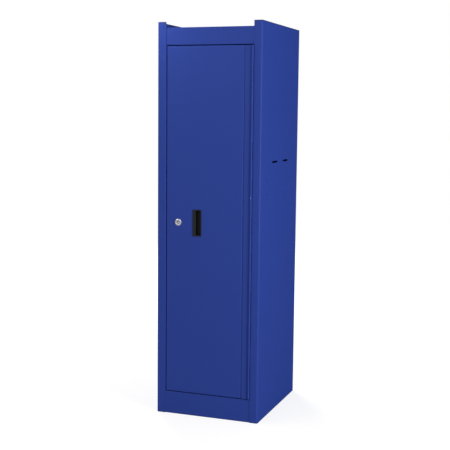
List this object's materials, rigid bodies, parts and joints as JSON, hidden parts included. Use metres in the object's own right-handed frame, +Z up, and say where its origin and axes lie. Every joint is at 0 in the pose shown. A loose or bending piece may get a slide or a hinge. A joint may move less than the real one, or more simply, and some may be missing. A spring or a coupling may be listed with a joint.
{
  "type": "tool chest side locker",
  "caption": "Tall narrow blue steel locker with a full height hinged door, cam lock, recessed pull, inside shelves and a recessed top tray, to hang on the side of a tool chest.",
  "frame": {"origin": "middle of the base, at the bottom of the whole locker's box", "axes": "+Z up, -Y towards the front where the door is, +X to the right seen from the front, where the hinge is"},
  "size_m": [0.436, 0.5138, 1.584],
  "materials": {
    "blue_paint": "semi-gloss blue powder coat",
    "zinc_steel": "zinc plated",
    "chrome": "bright chrome",
    "black_plastic": "fine moulded texture",
    "magnet_black": "coated ferrite",
    "rubber_black": "matt rubber"
  },
  "bodies": {
    "cabinet": {"left_side_panel": "blue_paint", "right_side_panel": "blue_paint", "back_panel": "blue_paint", "header_rail": "blue_paint", "sill_rail": "blue_paint", "top_panel": "blue_paint", "floor_panel": "blue_paint", "base_pan": "blue_paint", "shelf_standard_front_left": "zinc_steel", "shelf_standard_front_right": "zinc_steel", "shelf_standard_rear_left": "zinc_steel", "shelf_standard_rear_right": "zinc_steel", "shelf_lower": "blue_paint", "shelf_middle": "blue_paint", "shelf_upper": "blue_paint", "shelf_clip_lower_front_left": "zinc_steel", "shelf_clip_lower_front_right": "zinc_steel", "shelf_clip_lower_rear_left": "zinc_steel", "shelf_clip_lower_rear_right": "zinc_steel", "shelf_clip_middle_front_left": "zinc_steel", "shelf_clip_middle_front_right": "zinc_steel", "shelf_clip_middle_rear_left": "zinc_steel", "shelf_clip_middle_rear_right": "zinc_steel", "shelf_clip_upper_front_left": "zinc_steel", "shelf_clip_upper_front_right": "zinc_steel", "shelf_clip_upper_rear_left": "zinc_steel", "shelf_clip_upper_rear_right": "zinc_steel", "door_magnet_upper": "magnet_black", "door_magnet_lower": "magnet_black", "door_bumper_upper": "rubber_black", "door_bumper_lower": "rubber_black", "hinge_frame_leaf": "blue_paint", "hinge_pin": "zinc_steel"},
    "door": {"door_skin": "blue_paint", "door_stiffener": "blue_paint", "hinge_door_leaf": "blue_paint", "handle_cup": "black_plastic", "lock_body": "chrome", "lock_nut": "zinc_steel"},
    "lock": {"lock_plug": "chrome", "lock_cam": "zinc_steel", "cam_nut": "zinc_steel"}
  },
  "joints": [
    {"name": "door_swing", "type": "hinge", "parent": "cabinet", "child": "door", "pos_m": [0.1802, -0.2534, 0.79275], "axis": [0, 0, 1], "range_deg": [0, 175]},
    {"name": "lock_turn", "type": "hinge", "parent": "door", "child": "lock", "pos_m": [-0.126, -0.2511, 0.79275], "axis": [0, 1, 0], "range_deg": [0, 90]}
  ]
}
